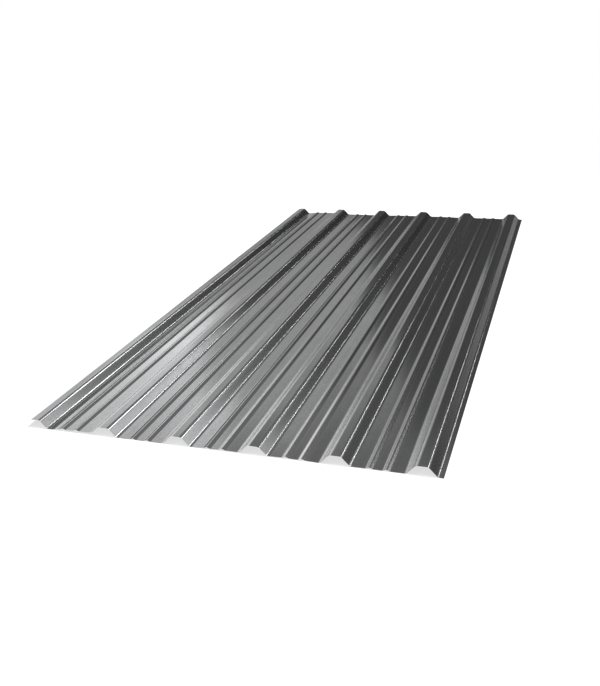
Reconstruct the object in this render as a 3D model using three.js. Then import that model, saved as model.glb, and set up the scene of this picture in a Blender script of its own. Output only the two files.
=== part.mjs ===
// A ribbed roofing and siding sheet, roll formed from one flat steel strip. Six
// trapezoidal ribs run the whole length, with two low stiffening ribs in each flat pan
// between them. The left edge ends in a down-turned overlap leg that covers the next
// sheet's last rib, and the right edge in a flat lip that lies under the next sheet.
//
// Units are millimetres. X runs across the sheet, Y along it and Z up. The origin is
// the middle of the sheet's footprint, on the surface that the pans lie on.

import * as THREE from "three";

// Sheet
const sheetLength = 2440;
const sheetThickness = 0.5;

// Main ribs, measured on the middle of the thickness
const ribCount = 6;
const ribPitch = 202;
const ribBaseWidth = 72;
const ribCrestWidth = 28;
const ribDepth = 24;
const ribBendRadius = 12;

// Stiffening ribs, low and narrow, in the pans
const stiffenersPerPan = 2;
const stiffenerSpacing = 40;
const stiffenerBaseWidth = 18;
const stiffenerCrestWidth = 3;
const stiffenerDepth = 3;
const stiffenerBendRadius = 3;

// Side laps
const overlapLegDrop = 16;
const underlapLipWidth = 13;

// Each rolled bend is drawn with twice this many flats
const bendDivisions = 3;

// A fold is a corner of the section, with the radius that it is bent to.
const fold = (x, z, radius) => ({ point: new THREE.Vector2(x, z), radius });

// The four folds of one trapezoidal rib, on the middle line of the strip.
function ribFolds(centre, baseWidth, crestWidth, depth, radius) {
  return [
    fold(centre - baseWidth / 2, 0, radius),
    fold(centre - crestWidth / 2, depth, radius),
    fold(centre + crestWidth / 2, depth, radius),
    fold(centre + baseWidth / 2, 0, radius),
  ];
}

// The stiffening ribs of the pan that is centred on `centre`.
function panFolds(centre) {
  const folds = [];
  for (let i = 0; i < stiffenersPerPan; i++) {
    const place = centre + (i - (stiffenersPerPan - 1) / 2) * stiffenerSpacing;
    folds.push(
      ...ribFolds(
        place,
        stiffenerBaseWidth,
        stiffenerCrestWidth,
        stiffenerDepth,
        stiffenerBendRadius,
      ),
    );
  }
  return folds;
}

// The middle line of the strip, from its left edge to its right edge. Its two ends are
// cut edges, so they have no radius.
function stripFolds() {
  const folds = [];
  for (let i = 0; i < ribCount; i++) {
    const centre = i * ribPitch;
    folds.push(...ribFolds(centre, ribBaseWidth, ribCrestWidth, ribDepth, ribBendRadius));
    if (i < ribCount - 1) folds.push(...panFolds(centre + ribPitch / 2));
  }

  // The overlap leg is the first rib's left web, cut off part of the way down.
  const [leftFoot, leftCrest] = folds;
  const legEnd = leftCrest.point.clone().lerp(leftFoot.point, overlapLegDrop / ribDepth);
  folds[0] = fold(legEnd.x, legEnd.y, 0);

  // The underlap lip goes on level from the last rib's right foot.
  const rightFoot = folds.at(-1).point;
  folds.push(fold(rightFoot.x + underlapLipWidth, rightFoot.y, 0));
  return folds;
}

const leftOf = (direction) => new THREE.Vector2(-direction.y, direction.x);

// The corners of one face of the strip, `offset` to the left of the middle line. The
// faces of a bend share its centre, so one has the larger radius and one the smaller.
function faceCorners(folds, offset) {
  const last = folds.length - 1;
  const headings = folds
    .slice(0, last)
    .map(({ point }, i) => folds[i + 1].point.clone().sub(point).normalize());
  return folds.map(({ point, radius }, i) => {
    const into = headings[Math.max(i - 1, 0)];
    const outOf = headings[Math.min(i, last - 1)];
    const mitre = leftOf(into)
      .add(leftOf(outOf))
      .divideScalar(1 + into.dot(outOf));
    const corner = point.clone().addScaledVector(mitre, offset);
    return fold(corner.x, corner.y, radius - Math.sign(into.cross(outOf)) * offset);
  });
}

// A closed outline through `corners`, with an arc at each one that has a radius.
function roundedOutline(corners) {
  const outline = new THREE.Shape();
  outline.moveTo(corners[0].point.x, corners[0].point.y);
  for (let i = 1; i < corners.length; i++) {
    const { point, radius } = corners[i];
    if (radius === 0) {
      outline.lineTo(point.x, point.y);
      continue;
    }
    const into = point.clone().sub(corners[i - 1].point).normalize();
    const outOf = corners[(i + 1) % corners.length].point.clone().sub(point).normalize();
    const turn = Math.atan2(into.cross(outOf), into.dot(outOf));
    const side = Math.sign(turn);
    const start = point.clone().addScaledVector(into, -radius * Math.tan(Math.abs(turn) / 2));
    const centre = start.clone().addScaledVector(leftOf(into), side * radius);
    const startAngle = start.clone().sub(centre).angle();
    outline.lineTo(start.x, start.y);
    outline.absarc(centre.x, centre.y, radius, startAngle, startAngle + turn, turn < 0);
  }
  outline.closePath();
  return outline;
}

function stripSection() {
  const folds = stripFolds();
  const top = faceCorners(folds, sheetThickness / 2);
  const underside = faceCorners(folds, -sheetThickness / 2);
  return roundedOutline([...underside, ...top.reverse()]);
}

function ribbedSheet() {
  const geometry = new THREE.ExtrudeGeometry(stripSection(), {
    depth: sheetLength,
    curveSegments: bendDivisions,
    bevelEnabled: false,
  });

  // Turned so that the section stands up and the sheet runs along Y, and then centred.
  geometry.rotateX(Math.PI / 2);
  geometry.center();
  geometry.translate(0, 0, (ribDepth + sheetThickness) / 2);

  const galvanisedSteel = new THREE.MeshStandardMaterial({
    color: new THREE.Color(0.52, 0.53, 0.54),
    roughness: 0.3,
    metalness: 1,
  });
  const mesh = new THREE.Mesh(geometry, galvanisedSteel);
  mesh.name = "ribbed_sheet";
  return mesh;
}

const sheet = new THREE.Group();
sheet.add(ribbedSheet());

export default sheet;
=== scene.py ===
import math

import bpy
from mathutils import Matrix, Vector, noise
from mathutils.bvhtree import BVHTree


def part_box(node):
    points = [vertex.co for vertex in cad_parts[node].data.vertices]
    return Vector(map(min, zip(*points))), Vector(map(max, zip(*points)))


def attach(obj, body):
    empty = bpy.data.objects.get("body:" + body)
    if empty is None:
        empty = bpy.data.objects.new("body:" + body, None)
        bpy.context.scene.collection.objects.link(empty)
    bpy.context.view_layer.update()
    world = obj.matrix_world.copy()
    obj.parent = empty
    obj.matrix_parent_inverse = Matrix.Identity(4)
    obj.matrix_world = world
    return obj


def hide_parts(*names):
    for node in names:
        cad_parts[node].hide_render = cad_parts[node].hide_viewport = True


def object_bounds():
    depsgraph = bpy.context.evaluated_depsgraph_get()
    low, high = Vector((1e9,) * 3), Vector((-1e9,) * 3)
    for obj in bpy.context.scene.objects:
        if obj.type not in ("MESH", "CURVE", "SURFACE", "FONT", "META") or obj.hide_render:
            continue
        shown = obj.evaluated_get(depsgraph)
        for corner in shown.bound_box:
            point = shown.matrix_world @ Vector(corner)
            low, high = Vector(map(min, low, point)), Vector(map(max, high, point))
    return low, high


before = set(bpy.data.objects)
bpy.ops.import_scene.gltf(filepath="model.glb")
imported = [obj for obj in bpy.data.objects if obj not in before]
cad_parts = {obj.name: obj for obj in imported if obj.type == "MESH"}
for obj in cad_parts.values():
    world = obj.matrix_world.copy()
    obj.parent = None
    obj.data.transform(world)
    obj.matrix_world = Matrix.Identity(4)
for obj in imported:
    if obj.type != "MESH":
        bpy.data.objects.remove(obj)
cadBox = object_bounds()
mm = 0.001


# Shader helpers: one line per node keeps the materials below readable.
def newNode(tree, kind, **settings):
    node = tree.nodes.new(kind)
    for name, value in settings.items():
        setattr(node, name, value)
    return node


def feed(tree, socket, source):
    # a node output is linked, a plain number or colour is typed in
    if isinstance(source, bpy.types.NodeSocket):
        tree.links.new(source, socket)
    else:
        socket.default_value = source


def calc(tree, operation, *sources):
    node = newNode(tree, "ShaderNodeMath", operation=operation)
    for socket, source in zip(node.inputs, sources):
        feed(tree, socket, source)
    return node.outputs[0]


def remap(tree, value, fromLow, fromHigh, toLow, toHigh, smooth=False):
    node = newNode(tree, "ShaderNodeMapRange", clamp=True)
    if smooth:
        node.interpolation_type = "SMOOTHSTEP"
    for socket, source in zip(node.inputs, (value, fromLow, fromHigh, toLow, toHigh)):
        feed(tree, socket, source)
    return node.outputs[0]


def blendColours(tree, factor, first, second):
    node = newNode(tree, "ShaderNodeMix", data_type="RGBA")
    feed(tree, node.inputs["Factor"], factor)
    feed(tree, node.inputs[6], first)
    feed(tree, node.inputs[7], second)
    return node.outputs[2]


def newGroup(name, inputs, outputs):
    tree = bpy.data.node_groups.new(name, "ShaderNodeTree")
    for label, kind, default in inputs:
        socket = tree.interface.new_socket(label, in_out="INPUT", socket_type=kind)
        socket.default_value = default
    for label, kind in outputs:
        tree.interface.new_socket(label, in_out="OUTPUT", socket_type=kind)
    return tree, newNode(tree, "NodeGroupInput"), newNode(tree, "NodeGroupOutput")


def placeGroup(tree, group, **values):
    node = newNode(tree, "ShaderNodeGroup", node_tree=group)
    for label, value in values.items():
        feed(tree, node.inputs[label], value)
    return node


# Zinc grain: small crystals with slightly different tones, over slow cloudy patches.
def zincGrainGroup():
    tree, given, made = newGroup(
        "zincGrain",
        [("Size", "NodeSocketFloat", 0.005), ("Contrast", "NodeSocketFloat", 0.5)],
        [("Tone", "NodeSocketFloat"), ("Height", "NodeSocketFloat")],
    )
    speckleFineness = 2.3       # times finer than the crystals
    cloudScale = 11.0           # clouds to a metre
    cloudWeight = 1.4           # the crystals and the speckles weigh 1 each
    place = newNode(tree, "ShaderNodeTexCoord").outputs["Object"]
    perMetre = calc(tree, "DIVIDE", 1.0, given.outputs["Size"])
    crystals = newNode(tree, "ShaderNodeTexVoronoi", feature="SMOOTH_F1")
    feed(tree, crystals.inputs["Vector"], place)
    feed(tree, crystals.inputs["Scale"], perMetre)
    feed(tree, crystals.inputs["Smoothness"], 0.35)
    crystalTone = newNode(tree, "ShaderNodeSeparateColor")
    feed(tree, crystalTone.inputs[0], crystals.outputs["Color"])
    speckle = newNode(tree, "ShaderNodeTexNoise")
    feed(tree, speckle.inputs["Vector"], place)
    feed(tree, speckle.inputs["Scale"], calc(tree, "MULTIPLY", perMetre, speckleFineness))
    feed(tree, speckle.inputs["Detail"], 3.0)
    clouds = newNode(tree, "ShaderNodeTexNoise")
    feed(tree, clouds.inputs["Vector"], place)
    feed(tree, clouds.inputs["Scale"], cloudScale)
    feed(tree, clouds.inputs["Detail"], 4.0)
    grain = calc(tree, "ADD", crystalTone.outputs[0], speckle.outputs["Fac"])
    grain = calc(tree, "ADD", grain, calc(tree, "MULTIPLY", clouds.outputs["Fac"], cloudWeight))
    average = calc(tree, "DIVIDE", grain, 2 + cloudWeight)
    centred = calc(tree, "SUBTRACT", average, 0.5)
    spread = calc(tree, "MULTIPLY", centred, given.outputs["Contrast"])
    feed(tree, made.inputs["Tone"], calc(tree, "ADD", spread, 0.5))
    height = calc(tree, "ADD", crystals.outputs["Distance"], speckle.outputs["Fac"])
    feed(tree, made.inputs["Height"], height)
    return tree


# Roll lines: long fine streaks that the forming rolls drag along the strip.
def rollLinesGroup():
    tree, given, made = newGroup(
        "rollLines",
        [("Spacing", "NodeSocketFloat", 0.01), ("Length", "NodeSocketFloat", 1.5)],
        [("Streak", "NodeSocketFloat"), ("Height", "NodeSocketFloat")],
    )
    place = newNode(tree, "ShaderNodeTexCoord").outputs["Object"]
    axes = newNode(tree, "ShaderNodeSeparateXYZ")
    feed(tree, axes.inputs[0], place)
    across = calc(tree, "DIVIDE", axes.outputs["X"], given.outputs["Spacing"])
    along = calc(tree, "DIVIDE", axes.outputs["Y"], given.outputs["Length"])
    stretched = newNode(tree, "ShaderNodeCombineXYZ")
    feed(tree, stretched.inputs["X"], across)
    feed(tree, stretched.inputs["Y"], along)
    streaks = newNode(tree, "ShaderNodeTexNoise")
    feed(tree, streaks.inputs["Vector"], stretched.outputs[0])
    feed(tree, streaks.inputs["Scale"], 1.0)
    feed(tree, streaks.inputs["Detail"], 5.0)
    feed(tree, streaks.inputs["Roughness"], 0.55)
    feed(tree, made.inputs["Streak"], streaks.outputs["Fac"])
    feed(tree, made.inputs["Height"], streaks.outputs["Fac"])
    return tree


# Bend wear: the tight bends, where the zinc is stretched and rubbed pale by the rolls.
def bendWearGroup():
    tree, given, made = newGroup(
        "bendWear",
        [("Amount", "NodeSocketFloat", 1.0), ("Breakup", "NodeSocketFloat", 0.3)],
        [("Mask", "NodeSocketFloat")],
    )
    patchScale = 60.0           # rubbed patches to a metre
    bend = newNode(tree, "ShaderNodeAttribute", attribute_name="bend")
    place = newNode(tree, "ShaderNodeTexCoord").outputs["Object"]
    patches = newNode(tree, "ShaderNodeTexNoise")
    feed(tree, patches.inputs["Vector"], place)
    feed(tree, patches.inputs["Scale"], patchScale)
    feed(tree, patches.inputs["Detail"], 3.0)
    loss = calc(tree, "MULTIPLY", patches.outputs["Fac"], given.outputs["Breakup"])
    kept = calc(tree, "MULTIPLY", bend.outputs["Fac"], calc(tree, "SUBTRACT", 1.0, loss))
    feed(tree, made.inputs["Mask"], calc(tree, "MULTIPLY", kept, given.outputs["Amount"]))
    return tree


steelFinish = {
    "lightTone": (0.58, 0.585, 0.59, 1),
    "darkTone": (0.45, 0.455, 0.465, 1),
    "wornTone": (0.56, 0.56, 0.565, 1),
    "toneReach": (0.3, 0.7),        # grain tones of the darkest and the lightest zinc
    "sheenReach": (0.25, 0.75),     # grain tones of the dullest and the brightest zinc
    "roughness": (0.10, 0.15),      # of the brightest and of the dullest
    "wornRoughness": 0.17,
    "wornBreakup": 0.3,             # how much of the wear is lost in patches
    "grainSize": 4.5 * mm,
    "grainContrast": 1.0,
    "grainHeight": 0.0012 * mm,
    "rollSpacing": 9 * mm,
    "rollLength": 1.6,              # metres along the strip
    "rollHeight": 0.003 * mm,
    "rollShare": 0.3,               # of the tone, the grain has the rest
}


def galvanisedSteel(finish):
    material = bpy.data.materials.new("galvanisedSteel")
    material.use_nodes = True
    tree = material.node_tree
    steel = tree.nodes["Principled BSDF"]
    steel.inputs["Metallic"].default_value = 1.0
    grain = placeGroup(tree, zincGrain, Size=finish["grainSize"], Contrast=finish["grainContrast"])
    rolled = placeGroup(tree, rollLines, Spacing=finish["rollSpacing"], Length=finish["rollLength"])
    wear = placeGroup(tree, bendWear, Amount=1.0, Breakup=finish["wornBreakup"])
    worn = wear.outputs["Mask"]
    rollTone = calc(tree, "MULTIPLY", rolled.outputs["Streak"], finish["rollShare"])
    grainTone = calc(tree, "MULTIPLY", grain.outputs["Tone"], 1 - finish["rollShare"])
    tone = calc(tree, "ADD", grainTone, rollTone)
    lightness = remap(tree, tone, *finish["toneReach"], 0.0, 1.0)
    zinc = blendColours(tree, lightness, finish["darkTone"], finish["lightTone"])
    feed(tree, steel.inputs["Base Color"], blendColours(tree, worn, zinc, finish["wornTone"]))
    smoothest, roughest = finish["roughness"]
    sheen = remap(tree, tone, *finish["sheenReach"], roughest, smoothest)
    feed(tree, steel.inputs["Roughness"], remap(tree, worn, 0.0, 1.0, sheen, finish["wornRoughness"]))
    # the rolls press both kinds of relief flat where the bends are worn
    unworn = calc(tree, "SUBTRACT", 1.0, worn)
    rollBump = newNode(tree, "ShaderNodeBump")
    feed(tree, rollBump.inputs["Strength"], unworn)
    feed(tree, rollBump.inputs["Height"], rolled.outputs["Height"])
    feed(tree, rollBump.inputs["Distance"], finish["rollHeight"])
    grainBump = newNode(tree, "ShaderNodeBump")
    feed(tree, grainBump.inputs["Strength"], unworn)
    feed(tree, grainBump.inputs["Height"], grain.outputs["Height"])
    feed(tree, grainBump.inputs["Distance"], finish["grainHeight"])
    feed(tree, grainBump.inputs["Normal"], rollBump.outputs["Normal"])
    feed(tree, steel.inputs["Normal"], grainBump.outputs["Normal"])
    return material


# Sheet
sheet = {
    "node": "ribbed_sheet",
    "thickness": 0.5 * mm,
    "bendGap": 0.6 * mm,        # closest that two columns lie in a bend
    "supportGap": 1.2 * mm,     # column beside each bend, keeps the flats flat
    "flatGap": 9 * mm,          # columns across pans, webs and crests
    "rowGap": 22 * mm,          # rows along the ribs
    "shortFlat": 4.8 * mm,      # shorter flats get no columns of their own
    "wearReach": 4 * mm,        # how far from a bend its wear is felt
    "wearTurn": 35,             # degrees turned within that reach that count as fully worn
    "waveLimit": 0.3 * mm,      # tallest wave, the section is squeezed by it to stay in the box
    "waves": [                  # share of the limit, size across, size along
        (0.55, 240 * mm, 900 * mm),
        (0.35, 95 * mm, 320 * mm),
        (0.10, 30 * mm, 1500 * mm),
    ],
    "waveSlices": (2.1, 7.3),   # where in the noise the first wave lies, and steps to the next
    "sharpTurn": 40,            # degrees, only the cut edges turn more
    "firstRib": -515.07 * mm,   # middle of the leftmost rib
    "ribPitch": 202 * mm,
    "stations": {               # places across, from the middle of a rib
        "crestLeft": -14 * mm,
        "crestRight": 14 * mm,
        "foot": 36 * mm,
        "footRise": 45 * mm,
        "panLift": 55 * mm,
        "panSwell": 66 * mm,
        "panRise": 72 * mm,
        "panMiddle": 90 * mm,
        "panFall": 112 * mm,
        "panEnd": 130 * mm,
        "nextFoot": 166 * mm,
    },
    "settleReach": 3 * mm,      # columns this far either side of each place below
    "settle": [                 # rib, station and how far the sheet stands off flat there
        (0, "crestLeft", -1.6 * mm),
        (0, "crestRight", 0),
        (0, "foot", 0),
        (0, "footRise", 0.5 * mm),
        (0, "panLift", 1.7 * mm),
        (0, "panSwell", 3.7 * mm),
        (0, "nextFoot", 4.9 * mm),
        (1, "crestLeft", 0),
        (1, "crestRight", -0.3 * mm),
        (1, "foot", 0),
        (2, "crestLeft", 0),
        (2, "crestRight", -0.4 * mm),
        (2, "foot", 0),
        (2, "panRise", 1.4 * mm),
        (2, "panMiddle", 1.4 * mm),
        (2, "panFall", 1.8 * mm),
        (2, "nextFoot", 1.8 * mm),
        (3, "crestLeft", 0),
        (3, "crestRight", -1.2 * mm),
        (3, "foot", 1.3 * mm),
        (3, "panRise", 1.9 * mm),
        (3, "panMiddle", 1.8 * mm),
        (3, "panFall", 1.1 * mm),
        (3, "panEnd", 1.2 * mm),
        (3, "nextFoot", -0.15 * mm),
        (4, "crestLeft", 0),
        (4, "crestRight", 0),
        (4, "panMiddle", 0.6 * mm),
        (4, "foot", 0.6 * mm),
        (4, "nextFoot", 0),
    ],
}


# The upper side of the CAD section, from its left edge to its right edge.
def sectionLine(node):
    tiny = 0.01 * mm
    wellAbove = 1.0
    corners = [v.co.copy() for v in node.data.vertices]
    skin = BVHTree.FromPolygons(corners, [tuple(p.vertices) for p in node.data.polygons])
    nearEnd = min(c.y for c in corners)
    ends = {(round(c.x, 6), round(c.z, 6)) for c in corners if abs(c.y - nearEnd) < tiny}
    line = []
    for x, z in sorted(ends):
        # a corner is on the upper side if a ray from above meets the skin at its height
        inward = x - math.copysign(0.1 * tiny, x)
        start = Vector((inward, nearEnd + mm, wellAbove))
        hit = skin.ray_cast(start, Vector((0, 0, -1)))[0]
        if hit is not None and abs(hit.z - z) < tiny:
            line.append(Vector((x, z)))
    return line


# The settle list as places across the sheet, each with its rise.
def settleKnots(spec):
    knots = []
    for rib, station, rise in spec["settle"]:
        knots.append((spec["firstRib"] + rib * spec["ribPitch"] + spec["stations"][station], rise))
    return sorted(knots)


# Columns of the mesh: the section's corners, and more of them across the flats.
def spacedColumns(line, spec):
    thinned = [line[0]]
    for point in line[1:]:
        if (point - thinned[-1]).length >= spec["bendGap"]:
            thinned.append(point)
    columns = []
    for start, end in zip(thinned, thinned[1:]):
        columns.append(start)
        length = (end - start).length
        if length < spec["shortFlat"]:
            continue
        inner = length - 2 * spec["supportGap"]
        steps = max(1, round(inner / spec["flatGap"]))
        reaches = [spec["supportGap"] + inner * i / steps for i in range(steps + 1)]
        for knot, rise in settleKnots(spec):
            for side in (-1, 1):
                reach = (knot + side * spec["settleReach"] - start.x) / (end.x - start.x) * length
                if reaches[0] < reach < reaches[-1]:
                    reaches.append(reach)
        columns += [start.lerp(end, reach / length) for reach in sorted(reaches)]
    columns.append(thinned[-1])
    return columns


# Headings of the steps between columns, with the first and the last one doubled.
def headingsOf(columns):
    steps = [b - a for a, b in zip(columns, columns[1:])]
    angles = [math.atan2(step.y, step.x) for step in steps]
    return [angles[0]] + angles + [angles[-1]]


# Normals at the columns, longer in a bend so that the thickness stays even.
def columnNormals(columns):
    angles = headingsOf(columns)
    normals = []
    for before, after in zip(angles, angles[1:]):
        middle = (before + after) / 2
        stretch = 1 / math.cos((after - before) / 2)
        normals.append(Vector((-math.sin(middle), math.cos(middle))) * stretch)
    return normals


# How worn each column is, from how much the sheet turns near it.
def columnWear(columns, spec):
    angles = headingsOf(columns)
    turns = [abs(after - before) for before, after in zip(angles, angles[1:])]
    wear = []
    for column in columns:
        near = [t for t, c in zip(turns, columns) if (c - column).length < spec["wearReach"]]
        wear.append(min(1, sum(near) / math.radians(spec["wearTurn"])))
    return wear


# Slow waves that a thin sheet keeps, as a height in metres.
def waveAt(x, y, spec):
    height = 0
    first, step = spec["waveSlices"]
    for order, (share, across, along) in enumerate(spec["waves"]):
        height += share * noise.noise(Vector((x / across, y / along, step * order + first)))
    return height * spec["waveLimit"]


# How far the settled sheet stands off flat here.
def settleAt(x, spec):
    knots = settleKnots(spec)
    if x <= knots[0][0]:
        return knots[0][1]
    if x >= knots[-1][0]:
        return knots[-1][1]
    for (left, low), (right, high) in zip(knots, knots[1:]):
        if left <= x <= right:
            return low + (high - low) * (x - left) / (right - left)


# Each column has a point on the upper side and one on the underside, row by row.
def sheetPoints(spec, low, high, columns, rows):
    normals = columnNormals(columns)
    settled = [settleAt(column.x, spec) for column in columns]
    squeeze = 1 - 2 * spec["waveLimit"] / (high.z - low.z - spec["thickness"])
    points = []
    for j in range(rows + 1):
        y = low.y + (high.y - low.y) * j / rows
        for column, normal, rise in zip(columns, normals, settled):
            top = (column.y - spec["thickness"]) * squeeze + spec["thickness"] + spec["waveLimit"]
            top += waveAt(column.x, y, spec) + rise
            under = column - normal * spec["thickness"]
            points.append((column.x, y, top))
            points.append((under.x, y, top - (column.y - under.y)))
    return points


def sheetFaces(width, rows):
    faces = []
    for j in range(rows):
        for i in range(width - 1):
            a, b = 2 * (j * width + i), 2 * (j * width + i + 1)
            c, d = b + 2 * width, a + 2 * width
            faces.append((a, b, c, d))
            faces.append((d + 1, c + 1, b + 1, a + 1))
        # the cut edges on the left and the right
        left, right = 2 * j * width, 2 * (j * width + width - 1)
        faces.append((left, left + 2 * width, left + 2 * width + 1, left + 1))
        faces.append((right, right + 1, right + 2 * width + 1, right + 2 * width))
    for i in range(width - 1):
        # the cut ends
        near, far = 2 * i, 2 * (rows * width + i)
        faces.append((near + 2, near, near + 1, near + 3))
        faces.append((far, far + 2, far + 3, far + 1))
    return faces


def buildSheet(spec):
    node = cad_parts[spec["node"]]
    low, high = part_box(spec["node"])
    columns = spacedColumns(sectionLine(node), spec)
    rows = round((high.y - low.y) / spec["rowGap"])
    faces = sheetFaces(len(columns), rows)
    mesh = bpy.data.meshes.new("galvanisedSheet")
    mesh.from_pydata(sheetPoints(spec, low, high, columns, rows), [], faces)
    mesh.shade_smooth()
    mesh.set_sharp_from_angle(angle=math.radians(spec["sharpTurn"]))
    bend = mesh.attributes.new("bend", "FLOAT", "POINT")
    wear = [w for w in columnWear(columns, spec) for side in ("upper", "under")]
    bend.data.foreach_set("value", wear * (rows + 1))
    piece = bpy.data.objects.new("galvanisedSheet", mesh)
    bpy.context.scene.collection.objects.link(piece)
    print("sheet:", len(columns), "columns,", rows + 1, "rows,", len(faces), "faces")
    return piece


# Studio
studio = {
    "floorSize": 160.0,
    "floorGap": 0.2 * mm,       # below the sheet
    "floorTone": 0.82,
    "floorLift": 0.62,          # how much of the floor's white is its own, the rest is lit
    "liftReach": (1.6, 3.2),    # from here to here it rises until all of it is its own
    "cardDistance": 60.0,
    "cardMesh": (36, 12),       # columns and rows of a card
    "sampledLevel": 2,          # cards as bright as this are sampled as lamps
    "hardEdge": 0.001,          # share of a card that its sharpest edge takes
    "ambient": 0.75,
    "lampPower": 260.0,
    "lampSize": 3.2,
    "lampPlace": (-1.2, -0.6, 3.4),
}

# Reflection cards, seen only in the metal: degrees right of +Y and up from the floor,
# brightness at the lower and upper edge, and soft edges in degrees (left, right, lower,
# upper). A card may lean, its upper edge moved to the right, or slope, its right edge
# moved up. Later cards hang in front.
cards = {
    "leftWall": {
        "span": (-85, -2), "rise": (-4, 46),
        "level": (0.3, 0.33), "soft": (0, 0, 0, 2),
    },
    "wallFoot": {
        "span": (-85, -2), "rise": (1, 12.5),
        "level": (0.48, 0.5), "soft": (0, 0, 4, 4),
    },
    "wallShade": {
        "span": (-85, -2), "rise": (-4, 4),
        "level": (0.15, 0.15), "soft": (0, 0, 0, 3),
    },
    "wallGlow": {
        "span": (-85, -2), "rise": (11.5, 46),
        "level": (0.46, 0.46), "soft": (0, 0, 8, 2),
    },
    "windowLow": {
        "span": (-50, -31), "rise": (3, 21.8), "lean": 7.5, "slope": -11.5,
        "level": (1.2, 1.2), "soft": (2, 6.5, 2, 2.2),
    },
    "windowHigh": {
        "span": (-62, -24), "rise": (19.6, 46),
        "level": (0.86, 0.86), "soft": (2, 1.3, 1.6, 4),
    },
    "windowCore": {
        "span": (-34, -21.5), "rise": (17.6, 23.2), "lean": -4.6, "slope": -1,
        "level": (1.6, 1.4), "soft": (5, 1.3, 1.4, 2.2),
    },
    "rearHead": {
        "span": (-16.5, 0), "rise": (22, 40),
        "level": (0.32, 0.14), "soft": (2.5, 0, 3, 2),
    },
    "rearFlag": {
        "span": (-19.2, 62), "rise": (-4, 46), "lean": 15,
        "level": (0.05, 0.11), "soft": (1, 0, 0, 2),
    },
    "rearCore": {
        "span": (3, 34), "rise": (5, 30),
        "level": (0.035, 0.035), "soft": (5, 6, 3, 3),
    },
    "rearFoot": {
        "span": (-3, 33), "rise": (-3, 5.4),
        "level": (0.25, 0.25), "soft": (6, 6, 0, 2.5),
    },
    "lowGlow": {
        "span": (14, 30), "rise": (4.5, 17.4), "slope": 4,
        "level": (0.1, 0.07), "soft": (5, 3, 4, 2),
    },
    "rightGlow": {
        "span": (20, 62), "rise": (6, 46),
        "level": (0.13, 0.24), "soft": (9, 0, 8, 4),
    },
    "rightGleam": {
        "span": (21.5, 31), "rise": (17.4, 21), "slope": 6,
        "level": (1.7, 1.7), "soft": (4, 1, 1, 1),
    },
    "ceiling": {
        "span": (-180, 180), "rise": (27, 90),
        "level": (0.17, 0.5), "soft": (0, 0, 2.5, 0),
    },
    "rightWindow": {
        "span": (27.2, 62), "rise": (17.2, 46), "lean": 4,
        "level": (0.95, 0.95), "soft": (2.4, 0, 4, 4),
    },
    "bendLamp": {
        "span": (17, 26), "rise": (30.5, 41), "lean": -5,
        "level": (5, 8), "soft": (2, 1.5, 2, 4),
    },
    "bendLampLow": {
        "span": (10.5, 13), "rise": (18.5, 31.5), "lean": 10.5,
        "level": (6.5, 9.5), "soft": (0.8, 0.8, 2.5, 1.5),
    },
    # behind the camera and overhead, seen from the other sides
    "backWall": {
        "span": (62, 275), "rise": (-4, 55),
        "level": (0.2, 0.5), "soft": (0, 0, 0, 18),
    },
    "backWindowRight": {
        "span": (92, 150), "rise": (4, 38),
        "level": (0.85, 0.85), "soft": (14, 14, 8, 12),
    },
    "backWindowLeft": {
        "span": (212, 268), "rise": (4, 38),
        "level": (0.85, 0.85), "soft": (14, 14, 8, 12),
    },
    "ceilingWindow": {
        "span": (-160, -20), "rise": (64, 88),
        "level": (1.1, 1.1), "soft": (30, 30, 12, 5),
    },
}

# A dark flag on the floor beyond the far end, which the left webs look down on.
floorFlag = {
    "across": (-1.4, 0.9), "along": (1.23, 2.6), "height": 1 * mm,
    "level": (0.13, 0.13), "soft": (0.2, 0.2, 0, 0.2),
}


def cardMaterial(name, card, width, height):
    material = bpy.data.materials.new(name)
    material.use_nodes = True
    # the soft cards are found by the metal's own rays, which is quicker
    if max(card["level"]) < studio["sampledLevel"]:
        material.cycles.emission_sampling = "NONE"
    tree = material.node_tree
    tree.nodes.clear()
    place = newNode(tree, "ShaderNodeTexCoord").outputs["UV"]
    axes = newNode(tree, "ShaderNodeSeparateXYZ")
    feed(tree, axes.inputs[0], place)
    across, up = axes.outputs["X"], axes.outputs["Y"]
    left, right, lower, upper = card["soft"]
    hardest = studio["hardEdge"]
    fades = [
        remap(tree, across, 0.0, max(left / width, hardest), 0.0, 1.0, smooth=True),
        remap(tree, across, 1.0, 1 - max(right / width, hardest), 0.0, 1.0, smooth=True),
        remap(tree, up, 0.0, max(lower / height, hardest), 0.0, 1.0, smooth=True),
        remap(tree, up, 1.0, 1 - max(upper / height, hardest), 0.0, 1.0, smooth=True),
    ]
    mask = fades[0]
    for fade in fades[1:]:
        mask = calc(tree, "MULTIPLY", mask, fade)
    glow = newNode(tree, "ShaderNodeEmission")
    low, high = card["level"]
    feed(tree, glow.inputs["Strength"], remap(tree, up, 0.0, 1.0, low, high))
    clear = newNode(tree, "ShaderNodeBsdfTransparent")
    blend = newNode(tree, "ShaderNodeMixShader")
    feed(tree, blend.inputs[0], mask)
    feed(tree, blend.inputs[1], clear.outputs[0])
    feed(tree, blend.inputs[2], glow.outputs[0])
    output = newNode(tree, "ShaderNodeOutputMaterial")
    feed(tree, output.inputs["Surface"], blend.outputs[0])
    return material


# A place on the sky round the sheet, in the cards' degrees.
def skyPoint(azimuth, elevation, distance):
    around, above = math.radians(azimuth), math.radians(elevation)
    level = math.cos(above)
    aim = Vector((math.sin(around) * level, math.cos(around) * level, math.sin(above)))
    return aim * distance


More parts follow.
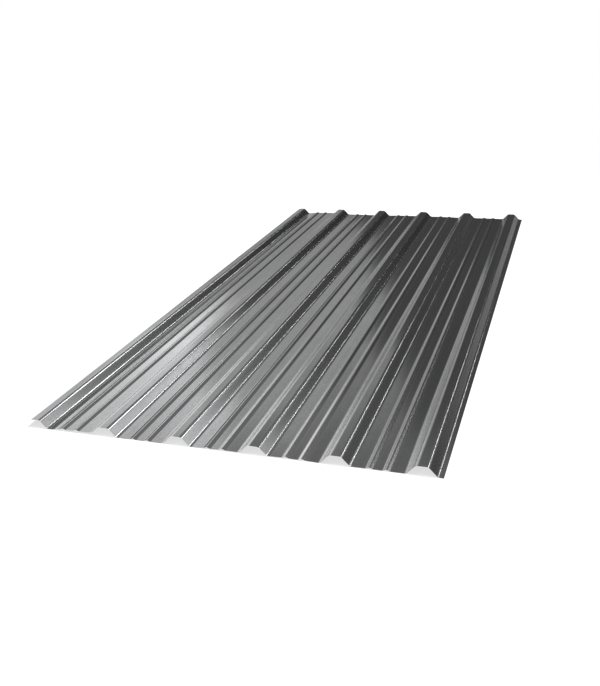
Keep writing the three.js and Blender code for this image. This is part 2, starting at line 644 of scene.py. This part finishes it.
def hangPanel(name, mesh, uvs, material):
    layer = mesh.uv_layers.new(name="UVMap")
    for loop in mesh.loops:
        layer.data[loop.index].uv = uvs[loop.vertex_index]
    mesh.materials.append(material)
    panel = bpy.data.objects.new(name, mesh)
    bpy.context.scene.collection.objects.link(panel)
    # only reflections see it
    panel.visible_camera = False
    panel.visible_diffuse = False
    panel.visible_shadow = False
    panel.visible_transmission = False


def buildFloorFlag(flag):
    (left, right), (near, far) = flag["across"], flag["along"]
    corners = [(left, near), (right, near), (right, far), (left, far)]
    mesh = bpy.data.meshes.new("floorFlag")
    mesh.from_pydata([(x, y, flag["height"]) for x, y in corners], [], [(0, 1, 2, 3)])
    uvs = [(0, 0), (1, 0), (1, 1), (0, 1)]
    hangPanel("floorFlag", mesh, uvs, cardMaterial("floorFlag", flag, right - left, far - near))


def buildCard(name, card, distance):
    # a curved panel, so that it keeps its angles all the way round
    columns, rows = studio["cardMesh"]
    left, right = card["span"]
    low, high = card["rise"]
    vertices, uvs, faces = [], [], []
    for j in range(rows + 1):
        for i in range(columns + 1):
            u, v = i / columns, j / rows
            azimuth = left + (right - left) * u + card.get("lean", 0) * v
            elevation = low + (high - low) * v + card.get("slope", 0) * u
            vertices.append(skyPoint(azimuth, elevation, distance))
            uvs.append((u, v))
    for j in range(rows):
        for i in range(columns):
            a = j * (columns + 1) + i
            faces.append((a, a + 1, a + columns + 2, a + columns + 1))
    mesh = bpy.data.meshes.new(name)
    mesh.from_pydata(vertices, [], faces)
    hangPanel(name, mesh, uvs, cardMaterial(name, card, right - left, high - low))


def whiteToRays(tree):
    # 1 where the ray came from the camera or off metal or glass
    rays = newNode(tree, "ShaderNodeLightPath")
    seen = calc(tree, "MAXIMUM", rays.outputs["Is Camera Ray"], rays.outputs["Is Glossy Ray"])
    return calc(tree, "MAXIMUM", seen, rays.outputs["Is Transmission Ray"])


def buildWorld():
    world = bpy.data.worlds.new("studioAir")
    world.use_nodes = True
    tree = world.node_tree
    sky = tree.nodes["Background"]
    feed(tree, sky.inputs["Color"], (1, 1, 1, 1))
    feed(tree, sky.inputs["Strength"], remap(tree, whiteToRays(tree), 0, 1, studio["ambient"], 1.0))
    bpy.context.scene.world = world


def buildFloor():
    half = studio["floorSize"] / 2
    level = cadBox[0][2] - studio["floorGap"]
    mesh = bpy.data.meshes.new("floor")
    corners = [(-half, -half), (half, -half), (half, half), (-half, half)]
    mesh.from_pydata([(x, y, level) for x, y in corners], [], [(0, 1, 2, 3)])
    material = bpy.data.materials.new("paleFloor")
    material.use_nodes = True
    tree = material.node_tree
    tree.nodes.clear()
    lit = newNode(tree, "ShaderNodeBsdfDiffuse")
    tone = studio["floorTone"]
    feed(tree, lit.inputs["Color"], (tone, tone, tone, 1))
    own = newNode(tree, "ShaderNodeEmission")
    feed(tree, own.inputs["Strength"], 1.0)
    # further out the floor is all its own white, up to the horizon
    place = newNode(tree, "ShaderNodeTexCoord").outputs["Object"]
    reach = newNode(tree, "ShaderNodeVectorMath", operation="LENGTH")
    feed(tree, reach.inputs[0], place)
    near, far = studio["liftReach"]
    lift = remap(tree, reach.outputs["Value"], near, far, studio["floorLift"], 1.0, smooth=True)
    blend = newNode(tree, "ShaderNodeMixShader")
    feed(tree, blend.inputs[0], calc(tree, "MULTIPLY", whiteToRays(tree), lift))
    feed(tree, blend.inputs[1], lit.outputs[0])
    feed(tree, blend.inputs[2], own.outputs[0])
    output = newNode(tree, "ShaderNodeOutputMaterial")
    feed(tree, output.inputs["Surface"], blend.outputs[0])
    mesh.materials.append(material)
    floor = bpy.data.objects.new("floor", mesh)
    bpy.context.scene.collection.objects.link(floor)


def buildLamp():
    light = bpy.data.lights.new("softbox", "AREA")
    light.shape = "SQUARE"
    light.size = studio["lampSize"]
    light.energy = studio["lampPower"]
    lamp = bpy.data.objects.new("softbox", light)
    lamp.location = studio["lampPlace"]
    aim = -Vector(studio["lampPlace"])
    lamp.rotation_euler = aim.to_track_quat("-Z", "Y").to_euler()
    # the metal sees the cards instead
    lamp.visible_glossy = False
    bpy.context.scene.collection.objects.link(lamp)


# Camera
view = {
    "imagePixels": (600, 686),
    "axisPixel": 256.9,         # column of the image that the lens axis meets
    "focalPixels": 892.0,
    "sensorWidth": 36.0,        # millimetres, along the image's longer side
    "clipEnd": 300,
    "place": (0.7758, -2.9899, 1.0254),
    "azimuth": 20.45,           # degrees, from -Y towards +X
    "elevation": 21.25,
    "roll": -3.05,
}


def buildCamera():
    camera = bpy.data.cameras.new("camera")
    imageWidth, imageHeight = view["imagePixels"]
    camera.sensor_width = view["sensorWidth"]
    camera.lens = view["focalPixels"] * view["sensorWidth"] / imageHeight
    camera.shift_x = (imageWidth / 2 - view["axisPixel"]) / imageHeight
    camera.clip_end = view["clipEnd"]
    eye = bpy.data.objects.new("camera", camera)
    around, above = math.radians(view["azimuth"]), math.radians(view["elevation"])
    level = math.cos(above)
    back = Vector((math.sin(around) * level, -math.cos(around) * level, math.sin(above)))
    turn = back.to_track_quat("Z", "Y").to_matrix()
    roll = math.radians(view["roll"])
    right = turn.col[0] * math.cos(roll) + turn.col[1] * math.sin(roll)
    up = back.cross(right)
    matrix = turn.copy()
    matrix.col[0], matrix.col[1], matrix.col[2] = right, up, back
    eye.matrix_world = matrix.to_4x4()
    eye.location = view["place"]
    bpy.context.scene.collection.objects.link(eye)
    bpy.context.scene.camera = eye


zincGrain = zincGrainGroup()
rollLines = rollLinesGroup()
bendWear = bendWearGroup()
piece = buildSheet(sheet)
piece.data.materials.append(galvanisedSteel(steelFinish))
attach(piece, "root")
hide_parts(sheet["node"])
print("sheet placed")

buildCamera()
buildWorld()
buildFloor()
buildLamp()
for order, (cardName, card) in enumerate(cards.items()):
    buildCard(cardName, card, studio["cardDistance"] - order)
buildFloorFlag(floorFlag)
bpy.context.scene.view_settings.view_transform = "Standard"
print("studio built")
